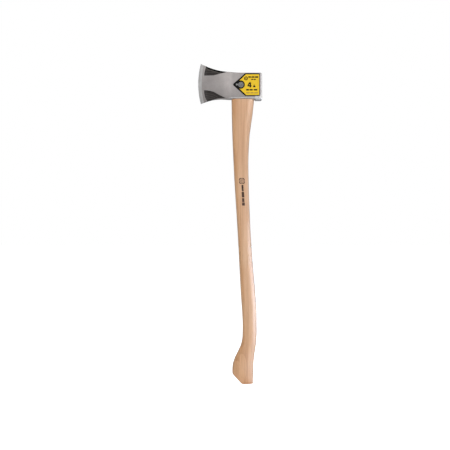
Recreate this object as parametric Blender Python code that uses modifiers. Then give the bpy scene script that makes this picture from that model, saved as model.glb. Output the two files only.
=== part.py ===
"""Splitting maul: a forged wedge head with scooped cheeks, hung on a curved hickory handle.

Units are metres. +Z runs up the handle, -X is the cutting edge's side and +X the poll's side. The world
origin is the middle of the flat on the butt. The head's own origin is the middle of its eye.
"""

import math

import bmesh
import bpy

MM = 0.001
GAP = 0.3 * MM  # clearance between neighbouring solids

# Driving dimensions
HANDLE_LENGTH = 914 * MM  # butt to the top of the eye: a 36 inch handle
HEAD_HEIGHT = 75.2 * MM  # through the eye
HEAD_THICKNESS = 30.5 * MM  # across the eye and the poll
EDGE_TO_EYE = 132 * MM  # foremost point of the cutting edge to the middle of the eye
POLL_TO_EYE = 56 * MM  # middle of the eye to the poll's striking face
EYE_X = -15.8 * MM  # the eye stands a little forward of the butt
EYE_Z = HANDLE_LENGTH - HEAD_HEIGHT / 2
HEAD_ORIGIN = (EYE_X, 0, EYE_Z)

# Head, in its own frame: X from the eye's middle, Z from mid-height
HEAD_TOP = HEAD_HEIGHT / 2
HEAD_BOTTOM = -HEAD_HEIGHT / 2
HEAD_LENGTH = EDGE_TO_EYE + POLL_TO_EYE
TOE_Z = 66.6 * MM
HEEL_Z = -52.2 * MM
EDGE_SETBACK = 7.8 * MM  # how far the toe and the heel lie behind the edge's foremost point
EDGE_BOW_LENGTH = 75 * MM  # the edge's curve has straightened out this far back
TOP_FLARE_X = -3.6 * MM  # the top edge starts to curve up to the toe here
HEEL_FLARE_X = -55.2 * MM  # the bottom edge starts to curve down to the heel here
POLL_LIP = 3.4 * MM  # the poll hangs this much below the eye
POLL_LIP_START = 33.8 * MM
POLL_LIP_END = 37.2 * MM
RIM_RADIUS = 2.0 * MM  # rounding of the head's long edges
LIP_RADIUS = 3.6 * MM  # rounding under the poll
POLL_RADIUS = 4.0 * MM  # rounding round the striking face

# Half thickness of the head's middle line against the distance behind the cutting edge
BEVEL_LENGTH = 10 * MM  # the ground bevel behind the cutting edge is flat
BEVEL_HALF_THICKNESS = 2.4 * MM
CHEEK = (
    (BEVEL_LENGTH, BEVEL_HALF_THICKNESS),
    (30 * MM, 4.5 * MM),
    (60 * MM, 8.5 * MM),
    (80 * MM, 12.2 * MM),
    (97 * MM, HEAD_THICKNESS / 2),
    (HEAD_LENGTH, HEAD_THICKNESS / 2),
)
# Share of its thickness that the cheek loses at its top and bottom edges
CROWN = ((0, 0), (BEVEL_LENGTH, 0), (45 * MM, 0.16), (75 * MM, 0.18), (100 * MM, 0), (HEAD_LENGTH, 0))

# Scoops forged into the cheeks above and below the middle ridge: (X, Z) along each ridge line
UPPER_RIDGE = (
    (-135 * MM, 31.3 * MM),
    (-107 * MM, 31.3 * MM),
    (-90 * MM, 31.6 * MM),
    (-66 * MM, 36.4 * MM),
    (-46 * MM, 41 * MM),
)
LOWER_RIDGE = (
    (-135 * MM, -12 * MM),
    (-113 * MM, -12 * MM),
    (-91 * MM, -15.7 * MM),
    (-69 * MM, -27 * MM),
    (-47 * MM, -37.6 * MM),
)
SCOOP_DEPTH = 2.2 * MM
SCOOP_START = 17.5 * MM  # behind the cutting edge
SCOOP_RUN_IN = 9 * MM
SCOOP_END_X = -46 * MM
SCOOP_RUN_OUT = 28 * MM
SCOOP_WALL = 2.5 * MM  # the wall from the scoop's floor up to the ridge

# Eye: (Z in the head's frame, half length along X, half width along Y)
EYE_SECTIONS = (
    (HEAD_BOTTOM, 31.6 * MM, 9.8 * MM),
    (-8 * MM, 30.8 * MM, 9.4 * MM),
    (HEAD_TOP, 32.4 * MM, 10.8 * MM),
)
EYE_ROUNDNESS = 2.5

# Handle: (Z, X) along its front and back outlines, and (Z, half thickness)
SHOULDER_Z = HANDLE_LENGTH - HEAD_HEIGHT - GAP
HANDLE_FRONT = (
    (-20 * MM, -41 * MM),
    (20 * MM, -46.4 * MM),
    (38 * MM, -47.2 * MM),
    (55 * MM, -45.9 * MM),
    (73 * MM, -40.8 * MM),
    (97 * MM, -29.4 * MM),
    (118 * MM, -20.7 * MM),
    (140 * MM, -17.2 * MM),
    (168 * MM, -16.7 * MM),
    (262 * MM, -21.8 * MM),
    (440 * MM, -31 * MM),
    (620 * MM, -42 * MM),
    (760 * MM, -47.8 * MM),
    (SHOULDER_Z, -49.4 * MM),
)
HANDLE_BACK = (
    (0, 14.5 * MM),
    (50 * MM, 15.1 * MM),
    (85 * MM, 18.2 * MM),
    (120 * MM, 23.1 * MM),
    (155 * MM, 25.2 * MM),
    (215 * MM, 24.6 * MM),
    (262 * MM, 21.4 * MM),
    (369 * MM, 12.2 * MM),
    (475 * MM, 5.5 * MM),
    (581 * MM, 1.4 * MM),
    (652 * MM, 0.3 * MM),
    (723 * MM, 3.2 * MM),
    (759 * MM, 7.6 * MM),
    (794 * MM, 12.6 * MM),
    (SHOULDER_Z, 17.4 * MM),
)
HANDLE_HALF_THICKNESS = (
    (0, 13.2 * MM),
    (45 * MM, 14.2 * MM),
    (100 * MM, 13 * MM),
    (170 * MM, 12.2 * MM),
    (440 * MM, 12 * MM),
    (650 * MM, 12 * MM),
    (760 * MM, 12.8 * MM),
    (SHOULDER_Z, 13.6 * MM),
)
GRIP_ROUNDNESS = 2.35  # superellipse exponent: 2 is an ellipse, more is squarer
BUTT_CHAMFER = 1.2 * MM
SHOULDER_CHAMFER = 1.5 * MM
FOOT_CUT_HEIGHT = 28 * MM  # the slanting cut under the foot ends this far up the front...
FOOT_CUT_X = -46.8 * MM
FOOT_CUT_TOE_X = -18.5 * MM  # ...and starts here on the butt

# Wedges in the eye
KERF_HALF_LENGTH = 45 * MM  # the kerf runs right through the tongue
KERF_DEPTH = 54 * MM
KERF_HALF_WIDTH = 3.3 * MM  # at the top; the kerf closes to a saw cut at its foot
KERF_FOOT_HALF_WIDTH = 0.9 * MM
KERF_WEDGE_HALF_LENGTH = 29.5 * MM
KERF_WEDGE_DEPTH = 50 * MM
STEP_WEDGE_BREADTH = 17 * MM
STEP_WEDGE_DEPTH = 25 * MM
STEP_WEDGE_THICKNESS = 3.4 * MM
STEP_WEDGE_TIP = 1.0 * MM
STEP_WEDGE_STEPS = 3
STEP_WEDGE_BARB = 0.35 * MM
STEP_WEDGE_X = 15 * MM  # each side of the eye's middle
STEP_WEDGE_TURN = math.radians(48)

# Labels on the cheeks, in the head's frame
LABEL_TIP_X = -29 * MM
LABEL_SHOULDER_X = 6.3 * MM
LABEL_BACK_X = 48.9 * MM
LABEL_HALF_HEIGHT = 33.2 * MM
LABEL_Z = 2.2 * MM  # the label's middle stands a little above the eye's
LABEL_TIP_RADIUS = 4 * MM
LABEL_THICKNESS = 0.3 * MM

CUTTER_RISE = 6 * MM  # cutters stand this far proud of what they cut
HANDLE_SIDES = 28
# Sections through the head, in mm behind the cutting edge: closest at the scoops and at the poll's lip
CHEEK_STATIONS = (0, 5, 10, 17.5, 23, 29, 36, 44, 52, 60, 68, 76, 84, 91, 97, 106, 128, 150)
LIP_STATIONS = (164, 166, 168, 170, 175)


def collection(name):
    made = bpy.data.collections.new(name)
    bpy.context.scene.collection.children.link(made)
    return made


def material(name, colour, roughness, metallic=0.0):
    made = bpy.data.materials.new(name)
    made.use_nodes = True
    shader = made.node_tree.nodes["Principled BSDF"]
    shader.inputs["Base Color"].default_value = (*colour, 1)
    shader.inputs["Roughness"].default_value = roughness
    shader.inputs["Metallic"].default_value = metallic
    return made


def smoothstep(t):
    t = min(1, max(0, t))
    return t * t * (3 - 2 * t)


def spline(points, at):
    """The value at `at` on a smooth curve through (position, value) points that never overshoots them."""
    if at <= points[0][0]:
        return points[0][1]
    if at >= points[-1][0]:
        return points[-1][1]
    i = max(k for k in range(len(points) - 1) if points[k][0] <= at)

    def secant(k):
        return (points[k + 1][1] - points[k][1]) / (points[k + 1][0] - points[k][0])

    def slope(k):
        if k == 0:
            return secant(0)
        if k == len(points) - 1:
            return secant(k - 1)
        before, after = secant(k - 1), secant(k)
        return 2 * before * after / (before + after) if before * after > 0 else 0

    (x0, y0), (x1, y1) = points[i], points[i + 1]
    width = x1 - x0
    t = (at - x0) / width
    ends = y0 * (1 + 2 * t) * (1 - t) ** 2 + y1 * t * t * (3 - 2 * t)
    return ends + width * t * (1 - t) * (slope(i) * (1 - t) - slope(i + 1) * t)


def spread(first, last, count):
    """`count` values from first to last, both included."""
    return [first + (last - first) * i / (count - 1) for i in range(count)]


def add_object(name, data, home, surface, parent=None, location=(0, 0, 0)):
    obj = bpy.data.objects.new(name, data)
    home.objects.link(obj)
    obj.parent = parent
    obj.location = location
    if surface:
        data.materials.append(surface)
    return obj


def as_cutter(obj):
    obj.hide_render = True
    obj.display_type = "WIRE"
    return obj


def cut(obj, cutter):
    boolean = obj.modifiers.new("Cut by " + cutter.name, "BOOLEAN")
    boolean.operation = "DIFFERENCE"
    boolean.object = cutter


def shade_round(obj, angle=35):
    obj.data.shade_smooth()
    obj.data.set_sharp_from_angle(angle=math.radians(angle))


def loft(name, rings):
    """A closed mesh through rings that run anticlockwise seen from above, lowest ring first."""
    bm = bmesh.new()
    loops = [[bm.verts.new(point) for point in ring] for ring in rings]
    for lower, upper in zip(loops, loops[1:]):
        for i in range(len(lower)):
            j = (i + 1) % len(lower)
            bm.faces.new((lower[i], lower[j], upper[j], upper[i]))
    bm.faces.new(reversed(loops[0]))
    bm.faces.new(loops[-1])
    mesh = bpy.data.meshes.new(name)
    bm.to_mesh(mesh)
    bm.free()
    return mesh


def extruded_outline(name, outline, thickness):
    """A flat 2D curve through the outline's points, extruded evenly about its own plane."""
    curve = bpy.data.curves.new(name, "CURVE")
    curve.dimensions = "2D"
    curve.fill_mode = "BOTH"
    curve.extrude = thickness / 2
    line = curve.splines.new("POLY")
    line.points.add(len(outline) - 1)
    for point, (x, y) in zip(line.points, outline):
        point.co = (x, y, 0, 1)
    line.use_cyclic_u = True
    return curve


def oval(centre_x, half_length, half_width, z, roundness, sides=HANDLE_SIDES):
    """One superellipse ring at height z."""
    ring = []
    for i in range(sides):
        angle = 2 * math.pi * i / sides
        c, s = math.cos(angle), math.sin(angle)
        x = half_length * math.copysign(abs(c) ** (2 / roundness), c)
        y = half_width * math.copysign(abs(s) ** (2 / roundness), s)
        ring.append((centre_x + x, y, z))
    return ring


# ---------------------------------------------------------------- head


def arc_rise(run, full_run, full_rise):
    """Height of a circular arc that leaves the level at run 0 and reaches full_rise at full_run."""
    radius = (full_run**2 + full_rise**2) / (2 * full_rise)
    return radius - math.sqrt(radius**2 - min(max(run, 0), full_run) ** 2)


def edge_setback(z):
    """How far the curved cutting edge lies behind its foremost point at height z."""
    middle, reach = (TOE_Z + HEEL_Z) / 2, (TOE_Z - HEEL_Z) / 2
    return arc_rise(abs(z - middle), reach, EDGE_SETBACK)


def head_x(back, z):
    """X of the point `back` behind the cutting edge: the edge's bow straightens out towards the eye."""
    return -EDGE_TO_EYE + back + edge_setback(z) * (1 - smoothstep(back / EDGE_BOW_LENGTH))


def top_z(x):
    toe_x = -EDGE_TO_EYE + EDGE_SETBACK
    return HEAD_TOP + arc_rise(TOP_FLARE_X - x, TOP_FLARE_X - toe_x, TOE_Z - HEAD_TOP)


def lip_share(x):
    """How far the poll's lip has come down at x, from 0 to 1."""
    return smoothstep((x - POLL_LIP_START) / (POLL_LIP_END - POLL_LIP_START))


def bottom_z(x):
    heel_x = -EDGE_TO_EYE + EDGE_SETBACK
    flare = arc_rise(HEEL_FLARE_X - x, HEEL_FLARE_X - heel_x, HEAD_BOTTOM - HEEL_Z)
    return HEAD_BOTTOM - flare - POLL_LIP * lip_share(x)


def height_on(back, outline):
    """Height of an outline or ridge line where the station `back` behind the edge meets it."""
    z = outline(-EDGE_TO_EYE + EDGE_SETBACK + back)
    for _ in range(8):
        z = outline(head_x(back, z))
    return z


def scoop(back, x, z, upper, lower):
    """How deep the scoops lie below the cheek at (x, z), outside the ridge heights upper and lower."""
    run_in = smoothstep((back - SCOOP_START) / SCOOP_RUN_IN)
    run_out = smoothstep((SCOOP_END_X - x) / SCOOP_RUN_OUT)
    walls = smoothstep((z - upper) / SCOOP_WALL) + smoothstep((lower - z) / SCOOP_WALL)
    return SCOOP_DEPTH * run_in * run_out * walls


def half_thickness(back, share):
    """Half thickness of the plain cheek, `share` of the way from its middle line to its edge."""
    if back <= BEVEL_LENGTH:
        middle = BEVEL_HALF_THICKNESS * back / BEVEL_LENGTH
    else:
        middle = spline(CHEEK, back)
    return middle * (1 - spline(CROWN, back) * share**2)


def head_section(back, inset):
    """Half a section of the head: middle of its top edge, round the cheek, to middle of its bottom edge."""
    top, bottom = height_on(back, top_z) - inset, height_on(back, bottom_z) + inset
    middle = (top + bottom) / 2
    thinnest = max(half_thickness(back, 1) - SCOOP_DEPTH, 0.4 * half_thickness(back, 1))
    lip = lip_share(head_x(back, bottom))
    top_radius = max(0, min(RIM_RADIUS - inset, 0.6 * thinnest))
    bottom_radius = max(0, min(RIM_RADIUS + (LIP_RADIUS - RIM_RADIUS) * lip - inset, 0.6 * thinnest))
    clear = SCOOP_WALL + 1 * MM
    upper = min(height_on(back, lambda x: spline(UPPER_RIDGE, x)), top - top_radius - clear)
    lower = max(height_on(back, lambda x: spline(LOWER_RIDGE, x)), bottom + bottom_radius + clear)

    def cheek(z):
        x = head_x(back, z)
        y = half_thickness(back, (z - middle) / (top - middle)) - scoop(back, x, z, upper, lower) - inset
        return x, max(y, 0), z

    def rounding(row, radius, direction):
        """The rounded corner outside an end row, from the head's middle plane outwards."""
        x, y, z = row
        corner = min(radius, y)
        points = [(head_x(back, z), 0, z + direction * corner)]
        for angle in (90, 45):
            rise, run = math.sin(math.radians(angle)), math.cos(math.radians(angle))
            points.append((x, y - corner + corner * run, z + direction * corner * rise))
        return points

    heights = (
        spread(top - top_radius, upper + SCOOP_WALL, 4)
        + spread(upper, lower, 8)
        + spread(lower - SCOOP_WALL, bottom + bottom_radius, 4)
    )
    rows = [cheek(z) for z in heights]
    return rounding(rows[0], top_radius, 1) + rows + rounding(rows[-1], bottom_radius, -1)[::-1]


def head_mesh():
    """The -Y half of the head, open at the middle plane."""
    stations = [(back * MM, 0) for back in CHEEK_STATIONS + LIP_STATIONS]
    for angle in (0, 30, 60, 90):
        turn = math.radians(angle)
        back = HEAD_LENGTH - POLL_RADIUS * (1 - math.sin(turn))
        stations.append((back, POLL_RADIUS * (1 - math.cos(turn))))
    bm = bmesh.new()
    grid = []
    for back, inset in stations:
        grid.append([bm.verts.new((x, -y, z)) for x, y, z in head_section(back, inset)])
    for ahead, behind in zip(grid, grid[1:]):
        for i in range(len(ahead) - 1):
            bm.faces.new((ahead[i], ahead[i + 1], behind[i + 1], behind[i]))
    bm.faces.new(grid[-1])
    bmesh.ops.remove_doubles(bm, verts=bm.verts, dist=1e-6)
    mesh = bpy.data.meshes.new("axe_head")
    bm.to_mesh(mesh)
    bm.free()
    return mesh


def eye_section(z, grow=0.0):
    half_length = spline([(height, length) for height, length, _ in EYE_SECTIONS], z)
    half_width = spline([(height, width) for height, _, width in EYE_SECTIONS], z)
    return half_length + grow, half_width + grow


def make_eye_cutter(home, parent):
    rings = []
    for z in [HEAD_BOTTOM - CUTTER_RISE, *spread(HEAD_BOTTOM, HEAD_TOP, 7), HEAD_TOP + CUTTER_RISE]:
        rings.append(oval(0, *eye_section(z), z, EYE_ROUNDNESS))
    return as_cutter(add_object("eye_cutter", loft("eye_cutter", rings), home, None, parent))


def make_head(home, cutters, origin):
    steel = material("lacquered_steel", (0.36, 0.34, 0.33), 0.42, 0.6)
    head = add_object("axe_head", head_mesh(), home, steel, origin)
    mirror = head.modifiers.new("Mirror", "MIRROR")
    mirror.use_axis = (False, True, False)
    mirror.merge_threshold = 1e-5
    shade_round(head)
    cut(head, make_eye_cutter(cutters, origin))
    return head


# ---------------------------------------------------------------- handle


def handle_section(z, inset=0.0):
    """One ring of the handle below its shoulder."""
    front, back = spline(HANDLE_FRONT, z), spline(HANDLE_BACK, z)
    half_width = spline(HANDLE_HALF_THICKNESS, z)
    return oval((front + back) / 2, (back - front) / 2 - inset, half_width - inset, z, GRIP_ROUNDNESS)


def tongue_section(z):
    """One ring of the tongue that fills the eye."""
    return oval(EYE_X, *eye_section(z - EYE_Z, -GAP), z, EYE_ROUNDNESS)


def make_foot_cutter(home):
    """A block whose side is the slanting cut under the foot."""
    side = 120 * MM
    run, rise = FOOT_CUT_TOE_X - FOOT_CUT_X, FOOT_CUT_HEIGHT
    slant = math.atan2(run, rise)
    normal = (-math.cos(slant), 0, -math.sin(slant))
    middle = ((FOOT_CUT_X + FOOT_CUT_TOE_X) / 2, 0, FOOT_CUT_HEIGHT / 2)
    bpy.ops.mesh.primitive_cube_add(size=side, location=[m + n * side / 2 for m, n in zip(middle, normal)])
    block = bpy.context.object
    block.name = "foot_cutter"
    block.rotation_euler = (0, -slant, 0)
    for other in block.users_collection:
        other.objects.unlink(block)
    home.objects.link(block)
    return as_cutter(block)


def make_handle(home, cutters):
    heights = [BUTT_CHAMFER, *spread(14 * MM, 182 * MM, 15), *spread(214 * MM, 694 * MM, 13)]
    heights += [*spread(724 * MM, SHOULDER_Z - SHOULDER_CHAMFER, 6)]
    rings = [handle_section(0, BUTT_CHAMFER)]
    rings += [handle_section(z) for z in heights]
    rings += [handle_section(SHOULDER_Z, SHOULDER_CHAMFER)]
    rings += [tongue_section(z) for z in spread(SHOULDER_Z, HANDLE_LENGTH, 7)]
    hickory = material("hickory", (0.64, 0.40, 0.23), 0.45)
    handle = add_object("handle", loft("handle", rings), home, hickory)
    shade_round(handle)
    cut(handle, make_foot_cutter(cutters))
    return handle


# ---------------------------------------------------------------- wedges


def kerf_half_width(depth):
    """The kerf closes evenly from its mouth to a saw cut at its foot."""
    return KERF_HALF_WIDTH + (KERF_FOOT_HALF_WIDTH - KERF_HALF_WIDTH) * depth / KERF_DEPTH


def tapered_block(name, half_length, rise, depth, clearance):
    """A block along X that fills the kerf from `rise` above the eye's top to `depth` below it."""
    bm = bmesh.new()
    bmesh.ops.create_cube(bm, size=2)
    for vert in bm.verts:
        level = -rise if vert.co.z > 0 else depth
        vert.co.x *= half_length
        vert.co.y *= kerf_half_width(level) - clearance
        vert.co.z = HEAD_TOP - level
    mesh = bpy.data.meshes.new(name)
    bm.to_mesh(mesh)
    bm.free()
    return mesh


def make_kerf_cutter(home, origin):
    mesh = tapered_block("kerf_cutter", KERF_HALF_LENGTH, CUTTER_RISE, KERF_DEPTH, 0)
    return as_cutter(add_object("kerf_cutter", mesh, home, None, origin))


def make_kerf_wedge(home, origin):
    mesh = tapered_block("kerf_wedge", KERF_WEDGE_HALF_LENGTH, 0, KERF_WEDGE_DEPTH, GAP)
    return add_object("kerf_wedge", mesh, home, material("poplar", (0.72, 0.55, 0.35), 0.6), origin)


def step_wedge_outline(grow, rise):
    """Points round a barbed wedge's side: each step is a little wider than the one above it ends."""
    step_depth = STEP_WEDGE_DEPTH / STEP_WEDGE_STEPS
    side = []
    for step in range(STEP_WEDGE_STEPS):
        share = step / STEP_WEDGE_STEPS
        half = (STEP_WEDGE_THICKNESS * (1 - share) + STEP_WEDGE_TIP * share) / 2
        head = rise if step == 0 else 0
        side.append((half + grow, head - step * step_depth))
        side.append((half + grow - STEP_WEDGE_BARB, -(step + 1) * step_depth))
    side[-1] = (STEP_WEDGE_TIP / 2 + grow, -STEP_WEDGE_DEPTH - grow)
    return side + [(-x, z) for x, z in reversed(side)]


def mesh_from_curve(obj):
    """Replaces a curve object by a welded mesh of it, so that it can cut."""
    graph = bpy.context.evaluated_depsgraph_get()
    mesh = bpy.data.meshes.new_from_object(obj.evaluated_get(graph))
    bm = bmesh.new()
    bm.from_mesh(mesh)
    bmesh.ops.remove_doubles(bm, verts=bm.verts, dist=1e-6)
    bmesh.ops.recalc_face_normals(bm, faces=bm.faces)
    bm.to_mesh(mesh)
    bm.free()
    made = bpy.data.objects.new(obj.name, mesh)
    obj.users_collection[0].objects.link(made)
    made.parent = obj.parent
    made.location = obj.location
    made.rotation_euler = obj.rotation_euler
    name = obj.name
    bpy.data.objects.remove(obj)
    made.name = name
    return made


def place_step_wedge(obj, side):
    obj.location = (side * STEP_WEDGE_X, 0, HEAD_TOP)
    obj.rotation_euler = (math.pi / 2, 0, STEP_WEDGE_TURN)


def make_step_wedge(name, home, cutters, origin, side, steel):
    """Adds the wedge, and returns the cutter for its slot."""
    plate = extruded_outline(name, step_wedge_outline(0, 0), STEP_WEDGE_BREADTH)
    wedge = add_object(name, plate, home, steel, origin)
    place_step_wedge(wedge, side)
    slot_name = name + "_cutter"
    slot = extruded_outline(slot_name, step_wedge_outline(GAP, CUTTER_RISE), STEP_WEDGE_BREADTH + 2 * GAP)
    cutter = add_object(slot_name, slot, cutters, None, origin)
    place_step_wedge(cutter, side)
    bpy.context.view_layer.update()
    return as_cutter(mesh_from_curve(cutter))


# ---------------------------------------------------------------- labels


def label_outline():
    """A five-sided tag with a rounded point towards the cutting edge."""
    lean = math.atan2(LABEL_SHOULDER_X - LABEL_TIP_X, LABEL_HALF_HEIGHT)
    centre_x = LABEL_TIP_X + LABEL_TIP_RADIUS
    points = [
        (LABEL_SHOULDER_X, -LABEL_HALF_HEIGHT),
        (LABEL_BACK_X, -LABEL_HALF_HEIGHT),
        (LABEL_BACK_X, LABEL_HALF_HEIGHT),
        (LABEL_SHOULDER_X, LABEL_HALF_HEIGHT),
    ]
    for angle in spread(math.pi - lean, math.pi + lean, 7):
        points.append((centre_x + LABEL_TIP_RADIUS * math.cos(angle), LABEL_TIP_RADIUS * math.sin(angle)))
    return points


def make_label(name, home, origin, side, vinyl):
    plate = extruded_outline(name, label_outline(), LABEL_THICKNESS)
    label = add_object(name, plate, home, vinyl, origin)
    label.location = (0, side * (HEAD_THICKNESS / 2 + GAP + LABEL_THICKNESS / 2), LABEL_Z)
    label.rotation_euler = (math.pi / 2, 0, 0)


def build():
    for obj in list(bpy.data.objects):
        bpy.data.objects.remove(obj, do_unlink=True)
    home, cutters = collection("splitting_maul"), collection("cutters")
    origin = add_object("head_origin", None, home, None, None, HEAD_ORIGIN)
    make_head(home, cutters, origin)
    handle = make_handle(home, cutters)
    kerf_wedge = make_kerf_wedge(home, origin)
    cut(handle, make_kerf_cutter(cutters, origin))
    steel = material("wedge_steel", (0.30, 0.30, 0.31), 0.5, 0.9)
    for name, side in (("step_wedge_front", -1), ("step_wedge_rear", 1)):
        slot = make_step_wedge(name, home, cutters, origin, side, steel)
        cut(handle, slot)
        cut(kerf_wedge, slot)
    vinyl = material("label_vinyl", (0.86, 0.62, 0.05), 0.35)
    make_label("label_left", home, origin, -1, vinyl)
    make_label("label_right", home, origin, 1, vinyl)


build()
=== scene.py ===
"""Looks of the splitting maul: forged head, hickory handle, eye wedges and labels, on a pale floor.

Units are metres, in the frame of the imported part: +Z runs up the handle, -X is the cutting edge's side.
"""

import math

import bmesh
import bpy
import numpy as np
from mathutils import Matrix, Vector


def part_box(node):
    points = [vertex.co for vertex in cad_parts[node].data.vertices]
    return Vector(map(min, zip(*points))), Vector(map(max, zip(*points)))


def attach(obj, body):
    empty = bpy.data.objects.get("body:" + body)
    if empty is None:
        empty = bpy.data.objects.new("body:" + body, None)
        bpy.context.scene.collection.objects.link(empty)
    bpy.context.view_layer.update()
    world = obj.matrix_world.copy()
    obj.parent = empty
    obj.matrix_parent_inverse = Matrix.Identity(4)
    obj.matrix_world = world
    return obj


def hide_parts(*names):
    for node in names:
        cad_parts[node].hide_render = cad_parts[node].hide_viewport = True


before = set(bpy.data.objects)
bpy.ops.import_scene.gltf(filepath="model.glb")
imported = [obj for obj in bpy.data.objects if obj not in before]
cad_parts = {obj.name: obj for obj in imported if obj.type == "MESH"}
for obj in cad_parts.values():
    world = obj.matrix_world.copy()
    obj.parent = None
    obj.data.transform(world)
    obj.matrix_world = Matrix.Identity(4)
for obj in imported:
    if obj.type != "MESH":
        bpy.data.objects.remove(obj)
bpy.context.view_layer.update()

# ---- sizes, from the frame

handle_low, handle_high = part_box("handle")
head_low, head_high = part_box("axe_head")
HANDLE_LENGTH_MM = 914
MM = (handle_high.z - handle_low.z) / HANDLE_LENGTH_MM


def in_mm(*points):
    """Points given in mm, in metres."""
    return tuple(tuple(value * MM for value in point) for point in points)


def at_mm(*points):
    """(place, value) points whose place is given in mm."""
    return tuple((place * MM, value) for place, value in points)


# Head, in its own frame: its origin is the middle of the eye
HEAD_HEIGHT = 75.2 * MM  # through the eye
HEAD_LENGTH = head_high.x - head_low.x
HEAD_THICKNESS = head_high.y - head_low.y
POLL_TO_EYE = 56 * MM
EDGE_TO_EYE = HEAD_LENGTH - POLL_TO_EYE
EYE = Vector((head_high.x - POLL_TO_EYE, 0, handle_high.z - HEAD_HEIGHT / 2))
HEAD_TOP = HEAD_HEIGHT / 2
HEAD_BOTTOM = -HEAD_HEIGHT / 2
TOE_Z = head_high.z - EYE.z
HEEL_Z = head_low.z - EYE.z

EDGE_SETBACK = 7.8 * MM  # how far the toe and the heel lie behind the edge's foremost point
TOE_X = -EDGE_TO_EYE + EDGE_SETBACK  # the heel's X too
EDGE_BOW_LENGTH = 75 * MM  # the edge's curve has straightened out this far back
TOP_FLARE_X = -3.6 * MM  # the top edge starts to curve up to the toe here
HEEL_FLARE_X = -55.2 * MM  # the bottom edge starts to curve down to the heel here
POLL_LIP = 3.4 * MM  # the poll hangs this much below the eye
POLL_LIP_START = 33.8 * MM
POLL_LIP_END = 37.2 * MM
RIM_RADIUS = 2.0 * MM  # rounding of the head's long edges
LIP_RADIUS = 3.6 * MM  # rounding under the poll
POLL_RADIUS = 4.0 * MM  # rounding round the striking face

BEVEL_LENGTH = 10 * MM  # ground bevel behind the cutting edge
BEVEL_HALF_THICKNESS = 2.4 * MM
CREASE_REACH = 0.01 * MM  # points this close to the bevel's end lie on its crease
HONED_LENGTH = 0.8 * MM  # steeper honed strip along the very edge
HONED_HALF_THICKNESS = 0.4 * MM
# Half thickness of the head's middle line against the distance behind the cutting edge
CHEEK = (
    (BEVEL_LENGTH, BEVEL_HALF_THICKNESS),
    *in_mm((30, 4.5), (60, 8.5), (80, 12.2)),
    (97 * MM, HEAD_THICKNESS / 2),
    (HEAD_LENGTH, HEAD_THICKNESS / 2),
)
# Share of its thickness that the cheek loses at its top and bottom edges
CROWN = ((0, 0), (BEVEL_LENGTH, 0), (45 * MM, 0.16), (75 * MM, 0.18), (100 * MM, 0), (HEAD_LENGTH, 0))

# Scoops above and below the cheek's middle ridge: (X, Z) along each ridge line
UPPER_RIDGE = in_mm((-135, 31.3), (-107, 31.3), (-90, 31.6), (-66, 36.4), (-46, 41))
LOWER_RIDGE = in_mm((-135, -12), (-113, -12), (-91, -15.7), (-69, -27), (-47, -37.6))
SCOOP_DEPTH = 2.2 * MM
SCOOP_START = 17.5 * MM  # behind the cutting edge
SCOOP_RUN_IN = 9 * MM
SCOOP_END_X = -46 * MM
SCOOP_RUN_OUT = 28 * MM
SCOOP_WALL = 2.5 * MM  # the wall from the scoop's floor up to the ridge
RIB_HEIGHT = 0.25 * MM  # forging marks along the scoops' floors
RIB_PITCH = 6.4 * MM

# Painted light along the head, against the distance behind the cutting edge: a painted highlight over the
# crease and painted shade on the wedge towards the bit
PAINTED_LIGHT_ALONG_HEAD = (
    *at_mm((10, 0.95), (22, 0.86), (42, 0.92), (70, 1.15), (88, 1.44), (104, 1.08), (130, 1.0)),
    (HEAD_LENGTH, 1.0),
)
# ...and painted shade against the height: darker towards the bottom, as if lit from above
PAINTED_SHADE_DOWN_HEAD = (*at_mm((-34, 0.80), (-28, 0.84), (-14, 0.92), (-5, 1.0)), (HEAD_TOP, 1.06))
# Where the scoops' paint starts behind the cutting edge, against the height
PAINT_START = in_mm((-52, 24), (-43.3, 21.4), (-37.4, 19.2), (-33, 17.8), (-16.8, 16.4), (34, 16.4), (57, 18))
PAINT_RIM = 2.2 * MM  # the lower rim stays bare towards the eye...
PAINT_RIM_START = 30 * MM  # ...from this far behind the cutting edge
PAINT_RIM_RUN_IN = 30 * MM
PAINT_RUN_OUT = 4 * MM  # the paint ends this far past the scoops
PAINT_EDGE_TILT = 0.25  # and stops on the rim where the surface faces sideways less than this
PAINT_EDGE_FALL = 6 * MM
FAR_OUT = 10 * MM  # distances to the paint's edge are kept within this

# Where the lacquer has worn off: at the poll, on the poll's lip and along the lower rim. The pale bare steel
# there is also a painted highlight on the poll's rounding and painted light on the underside.
POLL_WEAR_START = POLL_TO_EYE - 5 * MM
POLL_WEAR_FADE = 4 * MM
LIP_WEAR_TOP = -22 * MM
LIP_WEAR_FADE = 12 * MM
RIM_WEAR_HEIGHT = 3.4 * MM
RIM_WEAR_FADE = 2 * MM
RIM_WEAR_START_X = -50 * MM
RIM_WEAR_RUN_IN = 20 * MM

# Eye: (Z, half length along X, half width along Y)
EYE_SECTIONS = (
    (HEAD_BOTTOM, 31.6 * MM, 9.8 * MM),
    (-8 * MM, 30.8 * MM, 9.4 * MM),
    (HEAD_TOP, 32.4 * MM, 10.8 * MM),
)
EYE_ROUNDNESS = 2.5
EYE_CHAMFER = 0.7 * MM

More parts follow.
